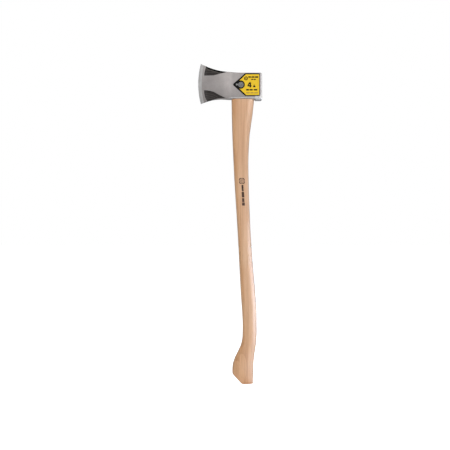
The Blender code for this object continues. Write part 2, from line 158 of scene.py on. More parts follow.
# Handle: (Z, X) along its front and back outlines, and (Z, half thickness)
SHOULDER_Z = handle_high.z - HEAD_HEIGHT - 0.3 * MM
HANDLE_FRONT = (
    *in_mm(
        (-20, -41), (20, -46.4), (38, -47.2), (55, -45.9), (73, -40.8), (97, -29.4), (118, -20.7),
        (140, -17.2), (168, -16.7), (262, -21.8), (440, -31), (620, -42), (760, -47.8),
    ),
    (SHOULDER_Z, -49.4 * MM),
)
HANDLE_BACK = (
    *in_mm(
        (0, 14.5), (50, 15.1), (85, 18.2), (120, 23.1), (155, 25.2), (215, 24.6), (262, 21.4), (369, 12.2),
        (475, 5.5), (581, 1.4), (652, 0.3), (723, 3.2), (759, 7.6), (794, 12.6),
    ),
    (SHOULDER_Z, 17.4 * MM),
)
HANDLE_HALF_THICKNESS = (
    *in_mm((0, 13.2), (45, 14.2), (100, 13), (170, 12.2), (440, 12), (650, 12), (760, 12.8)),
    (SHOULDER_Z, 13.6 * MM),
)
GRIP_ROUNDNESS = 2.35
BUTT_ROUNDING = 0.9 * MM
SHOULDER_ROUNDING = 2.2 * MM
TONGUE_ROUNDING = 0.5 * MM
FOOT_CUT_HEIGHT = 28 * MM  # the slanting cut leaves the foot's front here...
FOOT_CUT_X = -46.8 * MM
FOOT_CUT_TOE_X = -18.5 * MM  # ...and meets the butt here
FOOT_CUT_ROUNDING = 2.6 * MM
HANDLE_SIDES = 144
HANDLE_SIDE_BIAS = 2.2  # sides lie closer together on the handle's narrow front and back

KERF_HALF_LENGTH = 45 * MM
KERF_DEPTH = 54 * MM
KERF_HALF_WIDTH = 3.3 * MM
KERF_FOOT_HALF_WIDTH = 0.9 * MM
KERF_WEDGE_HALF_LENGTH = 29.5 * MM
KERF_WEDGE_DEPTH = 50 * MM
STEP_WEDGE_BREADTH = 17 * MM
STEP_WEDGE_DEPTH = 25 * MM
STEP_WEDGE_THICKNESS = 3.4 * MM
STEP_WEDGE_TIP = 1.0 * MM
STEP_WEDGE_STEPS = 3
STEP_WEDGE_BARB = 0.35 * MM
STEP_WEDGE_X = 15 * MM  # either side of the eye's middle
STEP_WEDGE_TURN = math.radians(48)
WOOD_WEDGE_BEVEL = 0.3 * MM
STEEL_WEDGE_BEVEL = 0.25 * MM
FIT = 0.06 * MM  # hairline between pieces that are driven together
CUT_PAST = 6 * MM  # cutters reach this far past the surface they open

# Label, in mm from the eye's middle along X and from its own middle along Z
LABEL_Z = 2.2 * MM  # its middle stands this much above the eye's
LABEL_TIP_X = -29
LABEL_SHOULDER_X = 6.3
LABEL_BACK_X = 48.9
LABEL_HALF_HEIGHT = 33.2
LABEL_TIP_RADIUS = 4
LABEL_SHOULDER_RADIUS = 3
LABEL_CORNER_RADIUS = 1.2
LABEL_LIFT = 0.1 * MM  # off the cheek
LABEL_THICKNESS = 0.28 * MM
PRINT_FOOT = 0.2 * MM  # printed layers start inside the sheet...
PRINT = 0.03 * MM  # ...and each stands this much above the one below
DISC_CENTRE = (-7.2, 0.0)  # the black disc behind the emblem
DISC_RADIUS = 12.4
FIELD_BACK = 47.3
FIELD_TOP = 30.1
FIELD_BOTTOM = -30.6
FIELD_INSET = 3.9
FIELD_CORNER = 1
NUMERAL_MIDDLE = 19.0
NUMERAL_WIDTH = 11.6
NUMERAL_BOTTOM = -8.3
NUMERAL_HEIGHT = 15.2

# Print on the handle: its origin on the handle, how it leans, and shapes in mm from that origin
HANDLE_PRINT_ORIGIN = (-18.2 * MM, 596.5 * MM)
HANDLE_PRINT_LEAN = -0.055
HANDLE_PRINT_RAISED = 0.05 * MM
HANDLE_PRINT_SUNK = 0.08 * MM
BADGE_CENTRE = (-1, 0)  # of the rings in the rounded square
# (top, bottom, half width) of each bar
HANDLE_BARS = ((-11.5, -30.5, 2.8), (-32, -48.5, 3.6), (-50.5, -62.5, 3.3), (-63.5, -72.5, 4.2))

WELD = 1e-6  # points closer than this are merged
FINE_WELD = 1e-7


# ---- helpers


def smoothstep(t):
    t = min(1, max(0, t))
    return t * t * (3 - 2 * t)


def spline(points, at):
    """The value at `at` on a smooth curve through (position, value) points that never overshoots them."""
    at = min(max(at, points[0][0]), points[-1][0])
    i = max(k for k in range(len(points) - 1) if points[k][0] <= at)

    def secant(k):
        return (points[k + 1][1] - points[k][1]) / (points[k + 1][0] - points[k][0])

    def slope(k):
        if k == 0:
            return secant(0)
        if k == len(points) - 1:
            return secant(k - 1)
        before, after = secant(k - 1), secant(k)
        return 2 * before * after / (before + after) if before * after > 0 else 0

    (x0, y0), (x1, y1) = points[i], points[i + 1]
    width = x1 - x0
    t = (at - x0) / width
    ends = y0 * (1 + 2 * t) * (1 - t) ** 2 + y1 * t * t * (3 - 2 * t)
    return ends + width * t * (1 - t) * (slope(i) * (1 - t) - slope(i + 1) * t)


def spread(first, last, count):
    return [first + (last - first) * i / (count - 1) for i in range(count)]


def smooth_max(a, b, width):
    """The larger of a and b, with the corner between them rounded over `width`."""
    near = np.maximum(width - np.abs(a - b), 0) / width
    return np.maximum(a, b) + near * near * width / 4


def add_object(name, data, place=(0, 0, 0)):
    obj = bpy.data.objects.new(name, data)
    bpy.context.scene.collection.objects.link(obj)
    obj.location = place
    return obj


def mesh_of_rings(name, rings):
    """A closed column through rings of equal point counts that run anticlockwise seen from above."""
    count = len(rings[0])
    verts = [tuple(point) for ring in rings for point in ring]
    last = (len(rings) - 1) * count
    faces = []
    for low in range(0, last, count):
        for i in range(count):
            j = (i + 1) % count
            faces.append((low + i, low + j, low + count + j, low + count + i))
    faces.append(tuple(reversed(range(count))))
    faces.append(tuple(range(last, last + count)))
    mesh = bpy.data.meshes.new(name)
    mesh.from_pydata(verts, [], faces)
    return mesh


def mesh_of(bm, name):
    mesh = bpy.data.meshes.new(name)
    bm.to_mesh(mesh)
    bm.free()
    return mesh


def hand_in(piece, node=None):
    """Rides a finished piece on the root body and lets it stand for its CAD node."""
    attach(piece, "root")
    if node:
        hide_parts(node)


def evaluated_mesh(obj):
    bpy.context.view_layer.update()
    return bpy.data.meshes.new_from_object(obj.evaluated_get(bpy.context.evaluated_depsgraph_get()))


def apply_modifiers(obj):
    """Replaces the object's mesh by what its modifiers make of it."""
    made = evaluated_mesh(obj)
    obj.modifiers.clear()
    obj.data = made


def cut(obj, cutter):
    boolean = obj.modifiers.new("Cut", "BOOLEAN")
    boolean.operation = "DIFFERENCE"
    boolean.object = cutter
    apply_modifiers(obj)


def shade_round(obj, angle=32):
    obj.data.shade_smooth()
    obj.data.set_sharp_from_angle(angle=math.radians(angle))


class Nodes:
    """Grows a shader's node tree. Sizes of patterns are in mm."""

    def __init__(self, tree):
        self.tree = tree

    def join(self, value, socket):
        if isinstance(value, bpy.types.NodeSocket):
            self.tree.links.new(value, socket)
        elif socket.type == "RGBA" and len(value) == 3:
            socket.default_value = (*value, 1)
        else:
            socket.default_value = value

    def node(self, kind, output=0, inputs=None, **settings):
        made = self.tree.nodes.new("ShaderNode" + kind)
        for key, value in settings.items():
            setattr(made, key, value)
        for key, value in (inputs or {}).items():
            self.join(value, made.inputs[key])
        return made.outputs[output]

    def place(self, stretch=(1, 1, 1), shift=(0, 0, 0)):
        """Object coordinates; a stretch of 10 along an axis makes patterns ten times longer that way."""
        scale = tuple(1 / s for s in stretch)
        spot = self.node("TexCoord", "Object")
        return self.node("Mapping", 0, {"Vector": spot, "Scale": scale, "Location": shift})

    def noise(self, size, detail=2.0, roughness=0.5, distortion=0.0, **where):
        inputs = {"Vector": self.place(**where), "Scale": 1 / (size * MM), "Detail": detail}
        inputs |= {"Roughness": roughness, "Distortion": distortion}
        return self.node("TexNoise", 0, inputs)

    def math(self, operation, a, b):
        return self.node("Math", 0, {0: a, 1: b}, operation=operation)

    def times(self, a, b):
        return self.math("MULTIPLY", a, b)

    def span(self, value, low, high, out_low=0.0, out_high=1.0, smooth=False):
        """Maps low..high to out_low..out_high, clamped."""
        inputs = {0: value, 1: low, 2: high, 3: out_low, 4: out_high}
        kind = "SMOOTHSTEP" if smooth else "LINEAR"
        return self.node("MapRange", 0, inputs, interpolation_type=kind)

    def blend(self, share, a, b, kind="MIX"):
        inputs = {0: share, 6: a, 7: b}
        return self.node("Mix", 2, inputs, data_type="RGBA", blend_type=kind)

    def weigh(self, share, a, b):
        return self.node("Mix", 0, {0: share, 2: a, 3: b}, data_type="FLOAT")

    def attribute(self, name):
        return self.node("Attribute", "Fac", attribute_name=name)

    def bump(self, height, depth, over=None):
        """Relief `depth` mm deep where height goes from 0 to 1."""
        inputs = {"Height": height, "Distance": depth * MM, "Strength": 1.0}
        if over:
            inputs["Normal"] = over
        return self.node("Bump", 0, inputs)


class Surface(Nodes):
    """A Principled material."""

    def __init__(self, name, **inputs):
        self.made = bpy.data.materials.new(name)
        self.made.use_nodes = True
        super().__init__(self.made.node_tree)
        self.shader = self.tree.nodes["Principled BSDF"]
        for key, value in inputs.items():
            self.put(key.replace("_", " "), value)

    def put(self, name, value):
        self.join(value, self.shader.inputs[name])

    def finished(self, colour, roughness, normal):
        self.put("Base Color", colour)
        self.put("Roughness", roughness)
        self.put("Normal", normal)
        return self.made


# ---- head shape


def arc_rise(run, full_run, full_rise):
    """Height of a circular arc that leaves the level at run 0 and reaches full_rise at full_run."""
    radius = (full_run**2 + full_rise**2) / (2 * full_rise)
    return radius - math.sqrt(radius**2 - min(max(run, 0), full_run) ** 2)


def edge_setback(z):
    middle, reach = (TOE_Z + HEEL_Z) / 2, (TOE_Z - HEEL_Z) / 2
    return arc_rise(abs(z - middle), reach, EDGE_SETBACK)


def head_x(back, z):
    """X of the point `back` behind the cutting edge: the edge's bow straightens out towards the eye."""
    return -EDGE_TO_EYE + back + edge_setback(z) * (1 - smoothstep(back / EDGE_BOW_LENGTH))


def behind_edge(x, z):
    """The inverse of head_x: how far (x, z) lies behind the cutting edge."""
    back = x + EDGE_TO_EYE
    for _ in range(8):
        back = x + EDGE_TO_EYE - edge_setback(z) * (1 - smoothstep(back / EDGE_BOW_LENGTH))
    return back


def top_z(x):
    return HEAD_TOP + arc_rise(TOP_FLARE_X - x, TOP_FLARE_X - TOE_X, TOE_Z - HEAD_TOP)


def lip_share(x):
    return smoothstep((x - POLL_LIP_START) / (POLL_LIP_END - POLL_LIP_START))


def bottom_z(x):
    flare = arc_rise(HEEL_FLARE_X - x, HEEL_FLARE_X - TOE_X, HEAD_BOTTOM - HEEL_Z)
    return HEAD_BOTTOM - flare - POLL_LIP * lip_share(x)


def height_on(back, outline):
    """Height of an outline at the distance `back` behind the cutting edge."""
    z = outline(TOE_X + back)
    for _ in range(8):
        z = outline(head_x(back, z))
    return z


def scoop(back, x, z, upper, lower):
    """How deep the scoops lie below the cheek at (x, z), outside the ridge heights upper and lower."""
    run_in = smoothstep((back - SCOOP_START) / SCOOP_RUN_IN)
    run_out = smoothstep((SCOOP_END_X - x) / SCOOP_RUN_OUT)
    reach = max(z - upper, lower - z)
    wall = smoothstep(reach / SCOOP_WALL)
    rib = RIB_HEIGHT * math.cos(2 * math.pi * (reach - SCOOP_WALL) / RIB_PITCH)
    return (SCOOP_DEPTH - rib) * run_in * run_out * wall


def half_thickness(back, share):
    if back <= HONED_LENGTH:
        middle = HONED_HALF_THICKNESS * back / HONED_LENGTH
    elif back <= BEVEL_LENGTH:
        along = (back - HONED_LENGTH) / (BEVEL_LENGTH - HONED_LENGTH)
        middle = HONED_HALF_THICKNESS + (BEVEL_HALF_THICKNESS - HONED_HALF_THICKNESS) * along
    else:
        middle = spline(CHEEK, back)
    return middle * (1 - spline(CROWN, back) * share**2)


def head_section(back, inset):
    """Half a section of the head: middle of its top edge, round the cheek, to middle of its bottom edge."""
    top, bottom = height_on(back, top_z) - inset, height_on(back, bottom_z) + inset
    middle = (top + bottom) / 2
    thinnest = max(half_thickness(back, 1) - SCOOP_DEPTH, 0.4 * half_thickness(back, 1))
    lip = lip_share(head_x(back, bottom))
    top_radius = max(0, min(RIM_RADIUS - inset, 0.6 * thinnest))
    bottom_radius = max(0, min(RIM_RADIUS + (LIP_RADIUS - RIM_RADIUS) * lip - inset, 0.6 * thinnest))
    clear = SCOOP_WALL + 1 * MM
    upper = min(height_on(back, lambda x: spline(UPPER_RIDGE, x)), top - top_radius - clear)
    lower = max(height_on(back, lambda x: spline(LOWER_RIDGE, x)), bottom + bottom_radius + clear)

    def cheek(z):
        x = head_x(back, z)
        y = half_thickness(back, (z - middle) / (top - middle)) - scoop(back, x, z, upper, lower) - inset
        return x, max(y, 0), z

    def rounding(row, radius, direction):
        x, y, z = row
        corner = min(radius, y)
        points = [(head_x(back, z), side, z + direction * corner) for side in (0, (y - corner) / 2)]
        for angle in (90, 72, 54, 36, 18):
            rise, run = math.sin(math.radians(angle)), math.cos(math.radians(angle))
            points.append((x, y - corner + corner * run, z + direction * corner * rise))
        return points

    heights = (
        spread(top - top_radius, upper + SCOOP_WALL, 24)
        + spread(upper + 0.8 * SCOOP_WALL, upper + 0.2 * SCOOP_WALL, 4)
        + spread(upper, lower, 24)
        + spread(lower - 0.2 * SCOOP_WALL, lower - 0.8 * SCOOP_WALL, 4)
        + spread(lower - SCOOP_WALL, bottom + bottom_radius, 24)
    )
    rows = [cheek(z) for z in heights]
    return rounding(rows[0], top_radius, 1) + rows + rounding(rows[-1], bottom_radius, -1)[::-1]


def head_stations():
    """(distance behind the edge, inset) of each section; they lie closest where the shape turns."""
    lip_start, lip_end = POLL_LIP_START + EDGE_TO_EYE, POLL_LIP_END + EDGE_TO_EYE
    stations = [0, HONED_LENGTH / 2, HONED_LENGTH, *spread(2.2 * MM, BEVEL_LENGTH, 6)]
    stations += spread(11 * MM, SCOOP_START, 5) + spread(19 * MM, 112 * MM, 60)
    stations += spread(116 * MM, lip_start - 2 * MM, 12) + spread(lip_start, lip_end, 8)
    stations += spread(lip_end + 2 * MM, HEAD_LENGTH - POLL_RADIUS - 2 * MM, 4)
    result = [(back, 0) for back in stations]
    for turn in [math.radians(angle) for angle in spread(0, 90, 8)]:
        result.append((HEAD_LENGTH - POLL_RADIUS * (1 - math.sin(turn)), POLL_RADIUS * (1 - math.cos(turn))))
    return result


def half_head():
    bm = bmesh.new()
    grid = [[bm.verts.new((x, -y, z)) for x, y, z in head_section(*station)] for station in head_stations()]
    for ahead, behind in zip(grid, grid[1:]):
        for i in range(len(ahead) - 1):
            bm.faces.new((ahead[i], ahead[i + 1], behind[i + 1], behind[i]))
    bm.faces.new(grid[-1])
    bmesh.ops.remove_doubles(bm, verts=bm.verts, dist=WELD)
    return mesh_of(bm, "axe_head")


def eye_section(z, grow):
    """Half length and half width of the eye at height z, wider by `grow` all round."""
    return [spline([(row[0], row[k]) for row in EYE_SECTIONS], z) + grow for k in (1, 2)]


def eye_ring(z, grow, sides=128):
    half_length, half_width = eye_section(z, grow)
    ring = []
    for i in range(sides):
        turn = 2 * math.pi * i / sides
        c, s = math.cos(turn), math.sin(turn)
        x = half_length * math.copysign(abs(c) ** (2 / EYE_ROUNDNESS), c)
        ring.append((x, half_width * math.copysign(abs(s) ** (2 / EYE_ROUNDNESS), s), z))
    return ring


def eye_cutter():
    """The eye, with a small chamfer at both mouths."""
    levels = [(HEAD_BOTTOM - CUT_PAST, EYE_CHAMFER), (HEAD_BOTTOM, EYE_CHAMFER)]
    levels += [(z, 0) for z in spread(HEAD_BOTTOM + EYE_CHAMFER, HEAD_TOP - EYE_CHAMFER, 16)]
    levels += [(HEAD_TOP, EYE_CHAMFER), (HEAD_TOP + CUT_PAST, EYE_CHAMFER)]
    return add_object("eye_cutter", mesh_of_rings("eye_cutter", [eye_ring(*level) for level in levels]), EYE)


def scoop_reach(x, z):
    """How far (x, z) lies outside the ridge between the scoops."""
    return max(z - spline(UPPER_RIDGE, x), spline(LOWER_RIDGE, x) - z)


def paint_line(x, z):
    """How far inside a scoop's painted outline (x, z) lies; negative outside."""
    back = behind_edge(x, z)
    bare_rim = PAINT_RIM * smoothstep((back - PAINT_RIM_START) / PAINT_RIM_RUN_IN)
    return min(back - spline(PAINT_START, z), scoop_reach(x, z), z - bottom_z(x) - bare_rim)


# ---- finishes


def head_finish():
    """Forged steel under clear grey lacquer; the scoops are painted near-black. Light and shade are painted
    onto both.
    """
    steel = Surface("lacquered_steel", Coat_Roughness=0.3)
    clouds = steel.noise(22, detail=3)
    mottle = steel.noise(2.4, detail=4, roughness=0.6)
    scale = steel.noise(0.7, detail=3)
    drawn = steel.noise(1.1, detail=2, stretch=(14, 1, 1))
    tone = steel.math("ADD", steel.times(clouds, 0.55), steel.times(mottle, 0.45))
    grey = steel.blend(steel.span(tone, 0.35, 0.65), (0.275, 0.25, 0.243), (0.35, 0.322, 0.314))
    line = steel.times(steel.attribute("paint"), 1 / MM)
    ragged = steel.math("ADD", line, steel.span(steel.noise(1.6), 0.3, 0.7, -0.22, 0.22))
    painted = steel.span(ragged, -0.12, 0.12, smooth=True)
    # Painted shade along the scoops' walls: the paint is darkest at its outline and lightens over 4 mm inside
    # it. The ribs' crests carry painted highlight lines.
    inner = steel.span(line, 0.6, 4.0)
    rib = steel.span(steel.attribute("rib"), -0.4, 1.0)
    floor = steel.blend(steel.times(inner, rib), (0.014, 0.010, 0.009), (0.046, 0.038, 0.034))
    floor = steel.blend(steel.span(mottle, 0.35, 0.75, 0, 0.35), floor, (0.048, 0.042, 0.038))
    # Under the top edge the top 4.2 mm of the scoop is painted near-black as shade, and a painted highlight
    # line runs about 6 to 8 mm down
    depth = steel.times(steel.attribute("rim"), 1 / MM)
    painted_highlight = steel.times(steel.span(depth, 5.4, 6.4), steel.span(depth, 7.4, 8.8, 1, 0))
    floor = steel.blend(steel.times(painted_highlight, 0.8), floor, (0.085, 0.075, 0.066))
    rim = steel.span(depth, 4.2, 5.6)
    black = steel.blend(rim, (0.003, 0.0025, 0.002), floor)
    # painted light: a highlight over the crease, shade towards the bit and towards the bottom
    grey = steel.blend(1.0, grey, steel.attribute("tone"), "MULTIPLY")
    # pale bare steel: partly real wear, partly a painted highlight on the poll's rounding and painted light
    # on the underside
    bare = steel.times(steel.attribute("worn"), steel.span(mottle, 0.3, 0.6, 0.35, 0.75))
    grey = steel.blend(bare, grey, (0.68, 0.685, 0.69))
    steel.put("Specular IOR Level", steel.weigh(painted, 0.5, steel.span(rim, 0, 1, 0.03, 0.3)))
    steel.put("Coat Weight", steel.weigh(painted, 0.25, 0.0))
    steel.put("Metallic", steel.weigh(painted, 0.3, 0.0))
    rough = steel.span(mottle, 0.3, 0.7, 0.34, 0.46)
    rough = steel.weigh(painted, rough, steel.span(scale, 0.3, 0.7, 0.42, 0.6))
    relief = steel.bump(mottle, 0.05, steel.bump(clouds, 0.25))
    relief = steel.bump(scale, 0.012, steel.bump(drawn, 0.012, relief))
    return steel.finished(steel.blend(painted, grey, black), rough, relief)


def ground_finish():
    """Bare steel with grinding marks across the edge."""
    steel = Surface("ground_steel", Metallic=0.45)
    marks = steel.noise(0.35, detail=3, roughness=0.7, stretch=(30, 1, 1))
    clouds = steel.noise(14, detail=3)
    grey = steel.blend(steel.span(clouds, 0.35, 0.65), (0.43, 0.42, 0.415), (0.52, 0.51, 0.505))
    return steel.finished(grey, steel.span(marks, 0.3, 0.7, 0.3, 0.45), steel.bump(marks, 0.012))


RING_CENTRE = (0.004, -0.072, 0)  # the log's core lies outside the handle
RING_WIDTH = 2.6 * MM
WAVE_SCALE = 0.314  # a ring's width at scale 1
GRAIN_SWAY = 0.004
GRAIN_RUN = 0.03  # how fast the rings change along the handle, against across it


def hickory_finish():
    """Straight grain along Z; the rings show as arcs on the butt and in the eye."""
    wood = Surface("hickory", Specular_IOR_Level=0.35, Coat_Weight=1.0, Coat_Roughness=0.3)
    sway = wood.noise(90, detail=2, stretch=(1, 1, 6))
    spot = wood.place(shift=RING_CENTRE)
    sideways = wood.node("CombineXYZ", 0, {0: wood.span(sway, 0.2, 0.8, -GRAIN_SWAY, GRAIN_SWAY)})
    bent = wood.node("VectorMath", 0, {0: spot, 1: sideways}, operation="ADD")
    bent = wood.node("Mapping", 0, {"Vector": bent, "Scale": (1, 1, GRAIN_RUN)})
    inputs = {"Vector": bent, "Scale": WAVE_SCALE / RING_WIDTH}
    inputs |= {"Distortion": 1.1, "Detail": 3.0, "Detail Scale": 0.02}
    kind = {"wave_type": "RINGS", "rings_direction": "Z", "wave_profile": "SAW"}
    rings = wood.node("TexWave", 1, inputs, **kind)
    streaks = wood.noise(6, detail=2, roughness=0.5, stretch=(1, 1, 45))
    threads = wood.noise(0.8, detail=3, roughness=0.65, stretch=(1, 1, 60))
    pores = wood.span(wood.noise(0.42, detail=1, stretch=(1, 1, 22)), 0.60, 0.72)
    patches = wood.noise(70, detail=2, stretch=(1, 1, 2))
    late = wood.span(rings, 0.05, 0.95)
    height = wood.node("SeparateXYZ", 2, {0: wood.node("TexCoord", "Object")})
    colour = wood.blend(late, (0.63, 0.37, 0.20), (0.53, 0.28, 0.135))
    colour = wood.blend(wood.span(streaks, 0.44, 0.56, 0, 0.8), colour, (0.70, 0.43, 0.245))
    colour = wood.blend(wood.span(patches, 0.42, 0.62, 0, 0.45), colour, (0.60, 0.305, 0.145))
    colour = wood.blend(wood.span(threads, 0.45, 0.75, 0, 0.3), colour, (0.45, 0.235, 0.11))
    colour = wood.blend(wood.times(pores, 0.35), colour, (0.28, 0.145, 0.07))
    # Painted light along the handle: lighter and paler 0.26 to 0.56 m up, as if lit most, a little darker and
    # warmer towards the top, and darker and warmer at the foot, as if shaded
    pale = wood.blend(wood.span(height, 0.56, 0.72), (1.10, 1.12, 1.14), (1.04, 1.01, 0.965))
    pale = wood.blend(wood.span(height, 0.02, 0.26), (1.01, 0.935, 0.83), pale)
    colour = wood.blend(1.0, colour, pale, "MULTIPLY")
    relief = wood.bump(wood.math("SUBTRACT", 1.0, pores), 0.02, wood.bump(threads, 0.02))
    return wood.finished(colour, wood.span(threads, 0.3, 0.7, 0.4, 0.56), wood.bump(late, 0.008, relief))


def wedge_wood_finish():
    wood = Surface("wedge_wood")
    rings = wood.noise(1.2, detail=3, stretch=(9, 1, 9))
    pores = wood.span(wood.noise(0.3, detail=2), 0.58, 0.7)
    colour = wood.blend(wood.span(rings, 0.3, 0.7), (0.66, 0.50, 0.31), (0.80, 0.65, 0.45))
    colour = wood.blend(wood.times(pores, 0.5), colour, (0.42, 0.29, 0.17))
    relief = wood.bump(wood.math("ADD", rings, pores), 0.03)
    return wood.finished(colour, wood.span(rings, 0.3, 0.7, 0.55, 0.72), relief)


def wedge_steel_finish():
    steel = Surface("wedge_steel", Metallic=0.9)
    dents = steel.noise(2.2, detail=2, distortion=0.6)
    grit = steel.noise(0.5, detail=3)
    grey = steel.blend(steel.span(dents, 0.35, 0.7), (0.26, 0.26, 0.27), (0.46, 0.46, 0.47))
    relief = steel.bump(grit, 0.01, steel.bump(dents, 0.12))
    return steel.finished(grey, steel.span(grit, 0.3, 0.7, 0.32, 0.52), relief)


def printed_finish(name, colour, roughness=0.34, metallic=0.0, shine=0.2):
    """Ink on a thin vinyl sheet, with faint waves and scuffs."""
    vinyl = Surface(name, Metallic=metallic, Specular_IOR_Level=shine)
    waves = vinyl.noise(9, detail=2)
    scuffs = vinyl.noise(0.6, detail=4, roughness=0.7)
    worn = vinyl.blend(vinyl.span(scuffs, 0.45, 0.75), colour, tuple(c * 0.88 for c in colour))
    rough = vinyl.span(scuffs, 0.3, 0.7, roughness - 0.05, roughness + 0.12)
    return vinyl.finished(worn, rough, vinyl.bump(scuffs, 0.004, vinyl.bump(waves, 0.06)))


def ink_finish():
    """Brown ink that has sunk into the grain."""
    ink = Surface("handle_ink", Specular_IOR_Level=0.25)
    thin = ink.noise(0.9, detail=3, stretch=(1, 1, 8))
    brown = ink.blend(ink.span(thin, 0.42, 0.7), (0.045, 0.02, 0.011), (0.14, 0.07, 0.038))
    return ink.finished(brown, 0.55, ink.bump(thin, 0.01))


# ---- pieces


def wear_and_highlight(x, z):
    """How far the lacquer has worn off at (x, z), from 0 to 1; the same share paints a highlight on the poll
    and light on the underside.
    """
    at_poll = smoothstep((x - POLL_WEAR_START) / POLL_WEAR_FADE)
    at_lip = lip_share(x) * smoothstep((LIP_WEAR_TOP - z) / LIP_WEAR_FADE)
    low = smoothstep((bottom_z(x) + RIM_WEAR_HEIGHT - z) / RIM_WEAR_FADE)
    at_rim = low * smoothstep((x - RIM_WEAR_START_X) / RIM_WEAR_RUN_IN)
    return max(at_poll, at_lip, at_rim)


def paint_distance(vert):
    """How far inside the scoops' paint a point of the head lies; negative outside."""
    x, _, z = vert.co
    distance = paint_line(x, z) if x < SCOOP_END_X + PAINT_RUN_OUT else -FAR_OUT
    if z > 0:
        distance = min(distance, (abs(vert.normal.y) - PAINT_EDGE_TILT) * PAINT_EDGE_FALL)
    return max(-FAR_OUT, min(FAR_OUT, distance))


def store_fields(mesh):
    """Stores at each point what the lacquer and the paint are mixed by, and the light and shade painted onto
    them.
    """
    fields = ("paint", "rim", "rib", "tone", "worn")
    for name in fields:
        mesh.attributes.new(name, "FLOAT", "POINT")
    paint, rim, rib, tone, worn = (mesh.attributes[name].data for name in fields)
    for i, vert in enumerate(mesh.vertices):
        x, _, z = vert.co
        paint[i].value = paint_distance(vert)
        # rim: depth below the top edge, where the painted shade band and painted highlight line lie
        rim[i].value = min(top_z(x) - z, FAR_OUT)
        # rib: phase of the forged ribs, for the painted highlight lines on their crests
        rib[i].value = math.cos(2 * math.pi * (scoop_reach(x, z) - SCOOP_WALL) / RIB_PITCH)
        # tone: painted light, a highlight over the crease and shade towards the bit and the bottom
        tone[i].value = spline(PAINTED_LIGHT_ALONG_HEAD, behind_edge(x, z)) * spline(PAINTED_SHADE_DOWN_HEAD, z)
        # worn: real wear and painted highlight together
        worn[i].value = wear_and_highlight(x, z)


def make_head():
    head = add_object("axe_head_forged", half_head(), EYE)
    mirror = head.modifiers.new("Mirror", "MIRROR")
    mirror.use_axis = (False, True, False)
    mirror.merge_threshold = WELD
    apply_modifiers(head)
    cutter = eye_cutter()
    cut(head, cutter)
    bpy.data.objects.remove(cutter)
    mesh = head.data
    mesh.materials.append(head_finish())
    mesh.materials.append(ground_finish())
    store_fields(mesh)
    for face in mesh.polygons:
        x, _, z = face.center
        face.material_index = 1 if behind_edge(x, z) < BEVEL_LENGTH else 0
    shade_round(head)
    on_crease = [abs(behind_edge(*vert.co.xz) - BEVEL_LENGTH) < CREASE_REACH for vert in mesh.vertices]
    for edge in mesh.edges:
        if all(on_crease[i] for i in edge.vertices):
            edge.use_edge_sharp = True
    hand_in(head, "axe_head")


def column_ring(z, middle, half_length, half_width, roundness, flats):
    """One ring of an oval column at height z.

    Each flat (nx, nz, offset, rounding) cuts off what lies beyond it.
    """
    turns = np.arange(HANDLE_SIDES) * 2 * np.pi / HANDLE_SIDES
    across = np.stack([HANDLE_SIDE_BIAS * np.cos(turns), np.sin(turns)])
    across /= np.linalg.norm(across, axis=0)
    front = middle - half_length
    for nx, nz, offset, _ in flats:
        if nx < 0:
            front = max(front, (offset - nz * z) / nx)
    centre = (front + middle + half_length) / 2

    def outside(reach):
        x, y = centre + reach * across[0], reach * across[1]
        u, v = np.abs(x - middle) / half_length, np.abs(y) / half_width
        level = (u**roundness + v**roundness) ** (1 / roundness)
        slope = np.hypot(u ** (roundness - 1) / half_length, v ** (roundness - 1) / half_width)
        slope = slope * np.maximum(level, 1e-9) ** (1 - roundness)
        distance = (level - 1) / np.maximum(slope, 1e-9)
        for nx, nz, offset, rounding in flats:
            distance = smooth_max(distance, nx * x + nz * z - offset, rounding)
        return distance

    low, high = np.zeros(HANDLE_SIDES), np.full(HANDLE_SIDES, 1.2 * half_length + half_width)
    for _ in range(44):  # halving finds where each side's ray leaves the shape
        half = (low + high) / 2
        out = outside(half) > 0
        high = np.where(out, half, high)
        low = np.where(out, low, half)
    return [(centre + r * cx, r * cy, z) for r, cx, cy in zip(low, across[0], across[1])]


def handle_shape(z):
    front, back = spline(HANDLE_FRONT, z), spline(HANDLE_BACK, z)
    return (front + back) / 2, (back - front) / 2, spline(HANDLE_HALF_THICKNESS, z)


def handle_mesh():
    run, rise = FOOT_CUT_TOE_X - FOOT_CUT_X, FOOT_CUT_HEIGHT
    nx, nz = -rise / math.hypot(run, rise), -run / math.hypot(run, rise)
    flats = (
        (nx, nz, nx * FOOT_CUT_TOE_X, FOOT_CUT_ROUNDING),
        (0, -1, 0, BUTT_ROUNDING),
        (0, 1, SHOULDER_Z, SHOULDER_ROUNDING),
    )
    heights = [BUTT_ROUNDING * t * t for t in spread(0, 1, 9)]
    heights += [*spread(3.2 * MM, 36 * MM, 33), *spread(38 * MM, 60 * MM, 12), *spread(63 * MM, 180 * MM, 40)]
    heights += [*spread(186 * MM, 738 * MM, 93), *spread(741 * MM, SHOULDER_Z - 3 * MM, 32)]
    heights += [SHOULDER_Z - SHOULDER_ROUNDING * t * t for t in spread(1, 0, 9)]
    rings = [column_ring(z, *handle_shape(z), GRIP_ROUNDNESS, flats) for z in heights]
    top = handle_high.z
    crown = ((0, 1, top, TONGUE_ROUNDING),)
    tongue = [top - step * MM for step in (0.5, 0.25, 0.1, 0)]
    for z in [*spread(SHOULDER_Z, top - 1 * MM, 24), *tongue]:
        half_length, half_width = eye_section(z - EYE.z, -FIT)
        rings.append(column_ring(z, EYE.x, half_length, half_width, EYE_ROUNDNESS, crown))
    return mesh_of_rings("handle", rings)


def kerf_half_width(depth):
    return KERF_HALF_WIDTH + (KERF_FOOT_HALF_WIDTH - KERF_HALF_WIDTH) * depth / KERF_DEPTH


